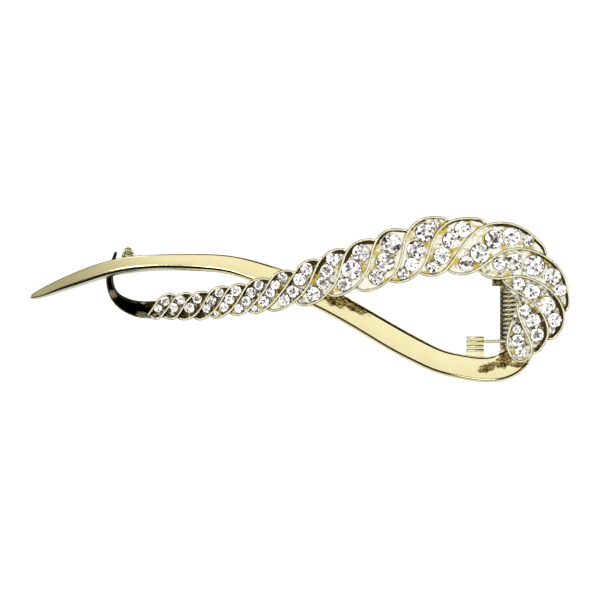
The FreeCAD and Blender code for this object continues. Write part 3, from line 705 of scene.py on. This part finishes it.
def rim_profile(length):
    """The profile of a rim of this length: a flat-topped bar that dips at its ends."""
    foot = TRAY_GAUGE - RIM_SINK
    middle = TRAY_GAUGE + RIM_MIDDLE

    def profile(fraction, _station):
        end = min(fraction, 1 - fraction) * length
        top = TRAY_GAUGE + RIM_HEIGHT - RIM_DIP * (1 - min(1.0, end / RIM_DIP_REACH)) ** 2
        half = RIM_WIDTH / 2 * end_taper(end, 0.4)
        corners = [
            (-half, foot), (-half * 0.76, middle), (-half * 0.6, top), (half * 0.6, top),
            (half * 0.76, middle), (half, foot),
        ]
        return rounded(corners, [0.05, 0.02, 0.1, 0.1, 0.02, 0.05], steps=4)

    return profile


def make_rims():
    """All the rims as one piece, with five sections to a millimetre."""
    shell = Shell()
    for line in rim_lines:
        shell.loft(strip_sections(line, int(line.length * 5), rim_profile(line.length), arch))
    item = shell.piece("rim_bars", RIM_GOLD, UPPER, "rim_gold", sharp_degrees=60)
    # the rims' sides take painted shade
    paint(item, rim_painted_shade)
    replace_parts(item, "twist_rims")


make_rims()

# How dark each lobe's floor is, and how strong the painted shadow under its outer end, from the narrow end
# on.
LOBE_DARKNESS = [
    0.42, 0.42, 0.42, 0.42, 0.42, 0.41, 0.41, 0.4, 0.34, 0.25, 0.14, 0.12, 0.16, 0.24, 0.3, 0.33, 0.34, 0.33,
]
LOBE_CRESCENT = [0, 0.2, 0.3, 0.4, 0.6, 0.8, 1, 1, 1, 1, 0.5, 0.3, 0.35, 0.5, 0.4, 0.3, 0.2, 0]
# The lobes whose painted shadow is only a thin line, and those whose inner end is painted in shade or made
# lighter.
THIN_CRESCENTS = (10, 11, 12, 13, 14)
SHADED_FEET = (2, 3)
LIGHTER_FEET = (4, 5, 6, 7)
# The fractions of the teardrop's loop where the last plain rim leaves it, and where it is folded in two.
LOOP_PARTING = 0.44
LOOP_MIDDLE = 0.5


def floor_darkness(lobe, along, from_outer):
    """How dark a spot of the floor is, from the lobe, the place along it and the depth from its outer rim."""
    darkness = LOBE_DARKNESS[lobe]
    outer_end = smooth_step(along, 0.4, 0.6) * (1 - smooth_step(along, 0.93, 1.0))
    near, far = (0.4, 0.75) if lobe in THIN_CRESCENTS else (0.6, 1.15)
    # painted shadow under the outer rim
    darkness += LOBE_CRESCENT[lobe] * outer_end * (1 - smooth_step(from_outer, near, far))
    # painted shade at the dark inner ends
    if lobe in SHADED_FEET:
        darkness += 1 - smooth_step(along, 0.14, 0.3)
    if lobe in LIGHTER_FEET:
        darkness -= 0.4 * (1 - smooth_step(along, 0.16, 0.3))
    return min(1.0, max(0.0, darkness))


def stretch(line, first, last):
    """A line's stretch between two fractions, as a function of its own fraction."""
    return lambda t: line.at(first + (last - first) * np.asarray(t))


def make_floors():
    """The lobes' floors: a thin flat skin between each two rims, from where they meet to where they meet."""
    last = rim_lines[-1]
    edges = []
    for rim, following in zip(rim_lines[:-2], rim_lines[1:-1]):
        opening = nearest_fraction(rim, following.at([0.0])[0])
        closing = nearest_fraction(following, rim.at([1.0])[0])
        edges.append((stretch(rim, opening, 1.0), stretch(following, 0.0, closing)))
    edges.append((stretch(rim_lines[-2], 0.0, 1.0), stretch(last, 0.0, LOOP_PARTING)))
    edges.append((stretch(last, 0.0, LOOP_MIDDLE), stretch(last, 1.0, LOOP_MIDDLE)))
    stations = np.linspace(0, 1, 60)
    across = np.linspace(0, 1, 15)
    shell = Shell()
    shades = []
    for lobe, (outer, inner) in enumerate(edges):
        sections = []
        for along, a, b in zip(stations, outer(stations), inner(stations)):
            section = []
            for s in across:
                x, y = (a + (b - a) * s)[:2]
                section.append((x, y, arch(x) + TRAY_GAUGE + FLOOR_SKIN))
                shades.append(floor_darkness(lobe, along, s * np.linalg.norm(b - a)))
            for x, y in (b[:2], a[:2]):
                section.append((x, y, arch(x) + TRAY_GAUGE / 2))
                shades.append(0.0)
            sections.append(section)
        shell.loft(sections)
    item = shell.piece("lobe_floors", TRAY_GOLD, UPPER, "tray_gold", sharp_degrees=80)
    store_shade(item, shades)


make_floors()
refinish(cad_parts["braid_tray"], TRAY_GOLD)


# -------------------- stones

def brilliant():
    """A round brilliant of diameter 1 with its tip at 0: vertices, glass faces and foiled faces.

    It has rings of 8 or 16 corners, from the table through the girdle's two edges to the tip.
    """
    def ring(count, radius, height, turn=0.0):
        return [
            (radius * math.cos(2 * math.pi * (k + turn) / count),
             radius * math.sin(2 * math.pi * (k + turn) / count), height)
            for k in range(count)
        ]

    vertices = ring(8, 0.27, FOOT_TO_TABLE) + ring(8, 0.385, FOOT_TO_STARS, 0.5)
    vertices += ring(16, 0.5, GIRDLE_TOP) + ring(16, 0.5, GIRDLE_LOW)
    vertices += ring(16, 0.36, 0.125, 0.5) + ring(8, 0.2, 0.055, 0.5)
    vertices.append((0, 0, 0.0))
    table, star, top, low, middle, deep, tip = 0, 8, 16, 32, 48, 64, 72
    glass = [tuple(range(8))]
    back = []
    for k in range(8):
        n = (k + 1) % 8
        p = (k - 1) % 8
        glass.append((table + k, star + k, table + n))
        glass.append((table + k, star + p, top + 2 * k, star + k))
        glass.append((star + k, top + 2 * k, top + 2 * k + 1))
        glass.append((star + k, top + 2 * k + 1, top + 2 * n))
        back.append((deep + k, middle + 2 * k + 1, middle + 2 * k))
        back.append((deep + p, deep + k, middle + 2 * k))
        back.append((deep + k, middle + 2 * n, middle + 2 * k + 1))
        back.append((tip, deep + k, deep + p))
    for k in range(16):
        n = (k + 1) % 16
        back.append((top + k, low + k, low + n, top + n))
        back.append((middle + k, low + n, low + k))
        back.append((middle + k, middle + n, low + n))
    return vertices, glass, back


def loose_parts(mesh):
    """The separate solids of a mesh, as arrays of their vertices in millimetres."""
    places = np.array([v.co for v in mesh.vertices]) / MM
    keys = {}
    welded = [keys.setdefault(tuple(np.round(place, 3)), len(keys)) for place in places]
    owner = list(range(len(keys)))

    def root(k):
        while owner[k] != k:
            owner[k] = owner[owner[k]]
            k = owner[k]
        return k

    for polygon in mesh.polygons:
        first, *rest = [root(welded[v]) for v in polygon.vertices]
        for other in rest:
            owner[root(other)] = root(first)
    groups = {}
    for index, place in zip(welded, places):
        groups.setdefault(root(index), []).append(place)
    return [np.array(group) for group in groups.values()]


def stone_places(name):
    """Place and diameter of each stone of a CAD row, from its upper end down."""
    found = []
    for part in loose_parts(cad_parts[name].data):
        low, high = part.min(0), part.max(0)
        diameter = high[1] - low[1]
        x, y = (low[:2] + high[:2]) / 2
        found.append((x, y, diameter))
    return sorted(found, key=lambda stone: -stone[1])


def seat_widths(rows):
    """Each stone's width in its seat: it fills the room up to its neighbours and under the rims."""
    rims = np.concatenate([line.at(np.linspace(0, 1, 160)) for line in rim_lines])
    stones = np.array([stone for row in rows for stone in row])
    widths = []
    for x, y, diameter in stones:
        room = [diameter / 2 * STONE_GROWTH]
        room.append(np.hypot(rims[:, 0] - x, rims[:, 1] - y).min() - RIM_LAP)
        gaps = np.hypot(stones[:, 0] - x, stones[:, 1] - y)
        # every stone but this one
        others = gaps > 0.01
        room.append((gaps[others] * diameter / (diameter + stones[others, 2])).min())
        widths.append(2 * max(diameter / 2, min(room)))
    return widths


def make_stones():
    """Every row's stones, foiled behind, each turned by its own amount. Gives the rows and the seats."""
    vertices, glass, back = brilliant()
    names = sorted(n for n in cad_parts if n.startswith("stones_row_"))
    rows = [stone_places(name) for name in names]
    widths = iter(seat_widths(rows))
    seats = []
    for name, row in zip(names, rows):
        shell = Shell()
        kinds = []
        for x, y, diameter in row:
            width = next(widths)
            seats.append((x, y, diameter, width))
            slope = arch_slope(x)
            foot = Vector((x, y, arch(x) + TRAY_GAUGE / math.cos(slope) + STONE_LIFT))
            lean = Matrix.Rotation(-slope + RNG.uniform(-STONE_LEAN, STONE_LEAN), 3, "Y")
            lean = lean @ Matrix.Rotation(RNG.uniform(-STONE_LEAN, STONE_LEAN), 3, "X")
            lean = lean @ Matrix.Rotation(RNG.uniform(0, math.pi / 4), 3, "Z")
            base = len(shell.vertices)
            for vx, vy, vz in vertices:
                shell.vertices.append(tuple(foot + lean @ Vector((vx * width, vy * width, vz * diameter))))
            shell.faces += [tuple(base + v for v in face) for face in glass + back]
            kinds += [0] * len(glass) + [1] * len(back)
        item = shell.piece(
            name.replace("stones_row", "cut_stones"), [STONE_GLASS, STONE_FOIL], UPPER, "stone", smooth=False,
        )
        item.data.polygons.foreach_set("material_index", kinds)
        sparks = item.data.attributes.new("spark", "FLOAT", "FACE")
        sparks.data.foreach_set("value", RNG.random(len(kinds)))
        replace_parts(item, name)
    return rows, seats


stone_rows, stone_shadow_rings = make_stones()


def make_stone_shadow_rings():
    """A painted shadow: a thin dark ring round each stone, where the seat's shade falls."""
    shell = Shell()
    for x, y, diameter, width in stone_shadow_rings:
        base = arch(x) + TRAY_GAUGE
        slope = math.tan(arch_slope(x))
        rings = [
            (0.1 * width, -0.3), (width / 2 + 0.11, -0.3), (width / 2 + 0.07, 0.16 * diameter),
            (width / 2 - 0.03, 0.13 * diameter), (0.3 * width, 0.0), (0.1 * width, -0.15),
        ]
        sections = []
        for radius, rise in rings:
            steps = [(radius * math.cos(a), radius * math.sin(a)) for a in circle(24)]
            sections.append([(x + dx, y + dy, base + rise + dx * slope) for dx, dy in steps])
        shell.loft(sections)
    shell.piece("stone_shadow_rings", DARK_METAL, UPPER, "tray_gold", sharp_degrees=40)


make_stone_shadow_rings()


def bead_rings(centre, radius):
    """Sections of a round-topped bead on a short stem."""
    x, y, z = centre
    sections = []
    for share, rise in [(0.75, -2.5), (0.8, -0.6), (1.0, 0.0), (0.85, 0.55), (0.5, 0.85), (0.12, 0.98)]:
        wide = radius * share
        sections.append(
            [(x + wide * math.cos(a), y + wide * math.sin(a), z + radius * rise) for a in circle(10)]
        )
    return sections


def make_beads():
    """The small prong beads that hold the stones, in the hollows between neighbours."""
    shell = Shell()
    for row in stone_rows:
        for (x1, y1, d1), (x2, y2, d2) in zip(row, row[1:]):
            start = np.array([x1, y1])
            step = np.array([x2, y2]) - start
            gap = np.linalg.norm(step)
            step /= gap
            middle = start + step * gap * d1 / (d1 + d2)
            side = np.array([-step[1], step[0]])
            for sign in (-1, 1):
                spot = middle + side * sign * min(d1, d2) * 0.45
                radius = 0.1 + 0.05 * min(d1, d2)
                rise = 0.33 * (d1 + d2) / 2
                shell.loft(bead_rings((*spot, arch(spot[0]) + TRAY_GAUGE + rise), radius))
    shell.piece("prong_beads", RIM_GOLD, UPPER, "rim_gold", sharp_degrees=70)


make_beads()


# -------------------- lower jaw

def jaw_profile(fraction, station):
    """A rounded band whose front stretch leans outwards."""
    x, _, width = station
    half = width / 2 * end_taper(fraction * jaw_line.length, 0.5)
    lean = between([(-16, JAW_LEAN), (-6, 0.0)], x)
    bevel = min(0.3, half * 0.5)
    corners = [(-half, 0.0), (-half + bevel * 0.4, JAW_GAUGE), (half - bevel, JAW_GAUGE), (half, 0.0)]
    outline = rounded(corners, [0.2, 0.35, 0.35, 0.2])
    return [(offset, rise + offset * lean) for offset, rise in outline]


def lever_profile(_fraction, station):
    """The lever's plate, a little thinner than the band so that it lies inside it where they meet."""
    half = station[2] / 2
    corners = [(-half, 0.0), (-half, JAW_GAUGE - 0.02), (half, JAW_GAUGE - 0.02), (half, 0.0)]
    return rounded(corners, [0.2, 0.35, 0.35, 0.2])


jaw_line = Curve(JAW)
jaw = Shell()
jaw.loft(strip_sections(jaw_line, 240, jaw_profile, jaw_underside))
jaw.loft(strip_sections(Curve(LEVER), 60, lever_profile, jaw_underside))
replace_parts(jaw.piece("jaw_band", JAW_GOLD, LOWER, "jaw_gold", sharp_degrees=60), "lower_jaw")


# -------------------- hinge

def hinge_line():
    """The hinge axis's x and z, from the pin's own box."""
    low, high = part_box("hinge_pin")
    return (low.x + high.x) / 2 / MM, (low.z + high.z) / 2 / MM


HINGE_X, HINGE_Z = hinge_line()


def helix(first, last):
    """The coil's centre line between two turns, counted from the anchor leg."""
    points = []
    for turn in np.linspace(first, last, max(8, int((last - first) * 28))):
        angle = 2 * math.pi * turn
        x = HINGE_X + COIL_RADIUS * math.sin(angle)
        z = HINGE_Z + COIL_RADIUS * math.cos(angle)
        points.append((x, COIL_FROM + COIL_PITCH * turn, z))
    return points


def coil_painted_shade(place, normal):
    """Painted shade on the coil: between its turns, inside it and along its -X side, and a little under its
    legs.
    """
    reach = Vector((place.x - HINGE_X, 0, place.z - HINGE_Z))
    if reach.length > COIL_RADIUS + 1.5 * WIRE_RADIUS:
        return 0.25 * (1 - smooth_step(normal.z, -0.2, 0.3))
    inside = smooth_step(-normal.dot(reach.normalized()), -0.2, 0.3)
    gap = smooth_step(abs(normal.y), 0.45, 0.85)
    flank = smooth_step(-reach.x / (COIL_RADIUS + WIRE_RADIUS), 0.5, 0.68)
    return 0.97 * max(gap, inside, flank)


def spring_half(name, path, radius, body):
    """One half of the spring's wire, with its painted shade."""
    wire = Shell()
    wire.loft(tube_sections(path, radius))
    item = wire.piece(name, SPRING_GOLD, body, "spring_wire", sharp_degrees=70)
    # painted shade on the wire
    paint(item, coil_painted_shade)
    return item


def make_spring():
    """The coil, split after its first turn: that turn and its leg go with the upper jaw."""
    reaches = (ANCHOR_LEG_REACH, 6.0, 4.0, 2.0, 0.5)
    leg = [(HINGE_X - reach, COIL_FROM, HINGE_Z + COIL_RADIUS) for reach in reaches]
    spring_half("spring_anchor_leg", leg + helix(0, 1), WIRE_RADIUS, UPPER)
    coil = helix(1 - SHARED_TURN, COIL_TURNS)
    end = np.array(coil[-1])
    away = np.array([math.cos(LEVER_LEG_SLOPE), 0, -math.sin(LEVER_LEG_SLOPE)])
    coil += [tuple(end + away * reach) for reach in (0.5, 2.5, 5.0, 8.8, 9.2)]
    # a little thinner, so that it lies inside the other half where they overlap
    piece_lower = spring_half("spring_coil", coil, WIRE_RADIUS - 0.01, LOWER)
    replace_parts(piece_lower, "torsion_spring")


make_spring()


def make_pin():
    """The riveted pin, with domed heads."""
    low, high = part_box("hinge_pin")
    span = (high.y - low.y) / MM
    head = 1.3
    profile = [
        (0.05, 0.0), (0.5, 0.04), (0.9, 0.14), (head * 0.95, 0.3), (head, 0.42), (head * 0.97, 0.5),
        (PIN_RADIUS, 0.5), (PIN_RADIUS, 0.6),
    ]
    mirrored = [(radius, span - y) for radius, y in reversed(profile)]
    shell = Shell()
    shell.loft(turned_sections((HINGE_X, low.y / MM, HINGE_Z), profile + mirrored))
    item = shell.piece("rivet_pin", FITTING_GOLD, LOWER, "fitting_gold", sharp_degrees=40)
    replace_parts(item, "hinge_pin")


make_pin()


def soften(name, finish):
    """A CAD node keeps its shape, and gets its material and slightly rounded edges."""
    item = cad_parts[name]
    refinish(item, finish)
    weld = item.modifiers.new("weld", "WELD")
    weld.merge_threshold = 0.002 * MM
    bevel = item.modifiers.new("edges", "BEVEL")
    bevel.width = 0.15 * MM
    bevel.segments = 3
    bevel.limit_method = "ANGLE"
    bevel.angle_limit = math.radians(40)
    bevel.harden_normals = True


soften("upper_lug_inner", DARK_METAL)
soften("upper_lug_outer", FITTING_GOLD)
soften("hinge_bracket", BRACKET_GOLD)


def make_tooth():
    """The ribbed cone: three rolled steps that shrink to a blunt point, on a root under the blade."""
    low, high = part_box("ribbed_tooth")
    x = (low.x + high.x) / 2 / MM
    z = low.z / MM + 1.4
    shoulder = 8.75
    point = high.y / MM
    step = (point - 0.15 - shoulder) / 3
    profile = [(0.1, shoulder - 0.6), (1.3, shoulder - 0.6)]
    for k, radius in enumerate((1.4, 1.22, 0.85)):
        y = shoulder + step * k
        profile += [
            (radius, y), (radius - 0.02, y + step * 0.4), (radius - 0.14, y + step * 0.72),
            (radius - 0.36, y + step * 0.88),
        ]
    profile += [(0.12, point)]
    shell = Shell()
    shell.loft(turned_sections((x, 0, z), profile, sides=24))
    root = rectangle(x - 1.2, x + 1.2, z - 1.2, z + 1.3, 0.2)
    shell.loft([[(px, y, pz) for px, pz in root] for y in (6.4, 8.6)])
    item = shell.piece("tooth_cone", FITTING_GOLD, UPPER, "fitting_gold", sharp_degrees=50)
    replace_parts(item, "ribbed_tooth")


make_tooth()


def make_anchor():
    """The block that takes the spring's leg: four ribs at its front, then a flared foot and a web."""
    low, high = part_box("spring_anchor")
    left, right = low.x / MM, high.x / MM
    back, front = low.y / MM, high.y / MM
    bottom, top = HINGE_Z + COIL_RADIUS - 1.2, HINGE_Z + COIL_RADIUS + 1.2
    ceiling = arch(left) - RIBBON_GAUGE
    # the ribs and the grooves between them: y, and how far the surface is sunk there
    stations = []
    for k in range(4):
        y = front - 0.85 * k
        stations += [(y, 0.1), (y - 0.08, 0.02), (y - 0.42, 0.02), (y - 0.5, 0.14)]
        if k < 3:
            stations += [(y - 0.54, 0.24), (y - 0.78, 0.24)]
    sections = []
    for y, sunk in stations:
        outline = rectangle(left + 0.55 + sunk, right - sunk, bottom, top - sunk, 0.25)
        sections.append([(px, y, pz) for px, pz in outline])
    for y, inset in ((front - 3.1, 0.5), (front - 3.6, 0.3), (front - 4.1, 0.05), (back + 0.9, 0.0)):
        outline = rectangle(left + inset, right, bottom, top, 0.15)
        sections.append([(px, y, pz) for px, pz in outline])
    shell = Shell()
    shell.loft(sections)
    web = rectangle(back, back + 1.2, left + 0.1, right, 0.15)
    shell.loft([[(px, py, pz) for py, px in web] for pz in (top - 0.6, ceiling + 0.1)])
    item = shell.piece("anchor_block", BLOCK_GOLD, UPPER, "fitting_gold", sharp_degrees=50)
    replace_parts(item, "spring_anchor")


make_anchor()


# -------------------- studio

# The light table's strength, as it lights the clip and as the camera sees it.
TABLE_LIGHT = 0.42
TABLE_SEEN = 0.95
# A faint light from everywhere, so that the dark walls aren't quite black.
WALL_LIGHT = 0.006
# Small lamps: heading and height in degrees, and strength.
LAMPS = [(20, 55, 7), (95, 60, 5), (150, 48, 7), (215, 58, 5), (285, 50, 7), (335, 64, 5)]
# How far from a lamp's middle its light begins to fall, and where it ends.
LAMP_CORE = math.radians(3)
LAMP_EDGE = math.radians(5)


def make_table():
    """A white light table just under the clip, 6 m wide. It isn't part of the object."""
    half = 3.0
    depth = -0.2 * MM
    mesh = bpy.data.meshes.new("light_table")
    mesh.from_pydata(
        [(-half, -half, depth), (half, -half, depth), (half, half, depth), (-half, half, depth)], [],
        [(0, 1, 2, 3)],
    )
    floor = add_object("light_table", mesh)
    matt_white = {
        "Base Color": (0.8, 0.8, 0.8, 1), "Roughness": 1.0, "Specular IOR Level": 0.0,
        "Emission Color": (1, 1, 1, 1),
    }
    material, tree, shader = new_material("light_table", matt_white)
    seen = node(tree, "ShaderNodeLightPath").outputs["Is Camera Ray"]
    glow = link_ramp(tree, seen, 0.0, 1.0, TABLE_LIGHT, TABLE_SEEN)
    tree.links.new(glow, shader.inputs["Emission Strength"])
    mesh.materials.append(material)


def lamp_light(tree, direction, heading, rise, strength):
    """What one small round lamp gives along a direction."""
    h = math.radians(heading)
    e = math.radians(rise)
    facing = node(tree, "ShaderNodeVectorMath", operation="DOT_PRODUCT", i0=direction)
    facing.inputs[1].default_value = (math.cos(h) * math.cos(e), math.sin(h) * math.cos(e), math.sin(e))
    return link_ramp(
        tree, facing.outputs["Value"], math.cos(LAMP_EDGE), math.cos(LAMP_CORE), 0.0, strength,
    )


def make_world():
    """A long softbox overhead with dark studio walls. The camera itself sees a white backdrop."""
    world = bpy.data.worlds.new("studio")
    bpy.context.scene.world = world
    world.use_nodes = True
    tree = world.node_tree
    tree.nodes.clear()
    direction = node(tree, "ShaderNodeTexCoord").outputs["Generated"]
    split = node(tree, "ShaderNodeSeparateXYZ", Vector=direction)
    up = calc(tree, "MAXIMUM", split.outputs["Z"], 0.02)
    along = calc(tree, "DIVIDE", split.outputs["X"], up)
    across = calc(tree, "DIVIDE", split.outputs["Y"], up)
    # the softbox has soft edges, and is a little dimmer towards the blade and towards -Y
    long = link_ramp(tree, calc(tree, "ABSOLUTE", along), 0.9, 1.15, 1.0, 0.0)
    wide = link_ramp(tree, calc(tree, "ABSOLUTE", across), 0.26, 0.36, 1.0, 0.0)
    tone_along = link_ramp(tree, along, -0.65, -0.1, 0.95, 1.0)
    tone_across = link_ramp(tree, across, -0.25, 0.2, 0.86, 1.04)
    light = calc(tree, "MULTIPLY", calc(tree, "MULTIPLY", long, wide),
                 calc(tree, "MULTIPLY", tone_along, tone_across))
    # a pale strip of wall, low down all round
    light = calc(tree, "ADD", light, link_ramp(tree, split.outputs["Z"], 0.12, 0.2, 0.55, 0.0))
    for lamp in LAMPS:
        light = calc(tree, "ADD", light, lamp_light(tree, direction, *lamp))
    light = calc(tree, "ADD", light, WALL_LIGHT)
    seen = node(tree, "ShaderNodeLightPath").outputs["Is Camera Ray"]
    unseen = calc(tree, "SUBTRACT", 1.0, seen)
    level = calc(tree, "ADD", calc(tree, "MULTIPLY", light, unseen), seen)
    background = node(tree, "ShaderNodeBackground", Strength=level)
    background.inputs["Color"].default_value = (1, 1, 1, 1)
    output = node(tree, "ShaderNodeOutputWorld")
    tree.links.new(background.outputs[0], output.inputs["Surface"])


def make_camera():
    """Straight above the clip with a very long lens, so that 120 mm fills the view at mid height (11 mm)."""
    data = bpy.data.cameras.new("camera")
    data.lens = 500
    data.sensor_width = 36
    camera = add_object("camera", data)
    width = 120 * MM
    middle = 11 * MM
    camera.location = (0, 0, middle + width / 2 / (data.sensor_width / 2 / data.lens))
    data.clip_start = 0.1
    data.clip_end = 20
    bpy.context.scene.camera = camera


make_table()
make_world()
make_camera()
bpy.context.scene.view_settings.view_transform = "Standard"
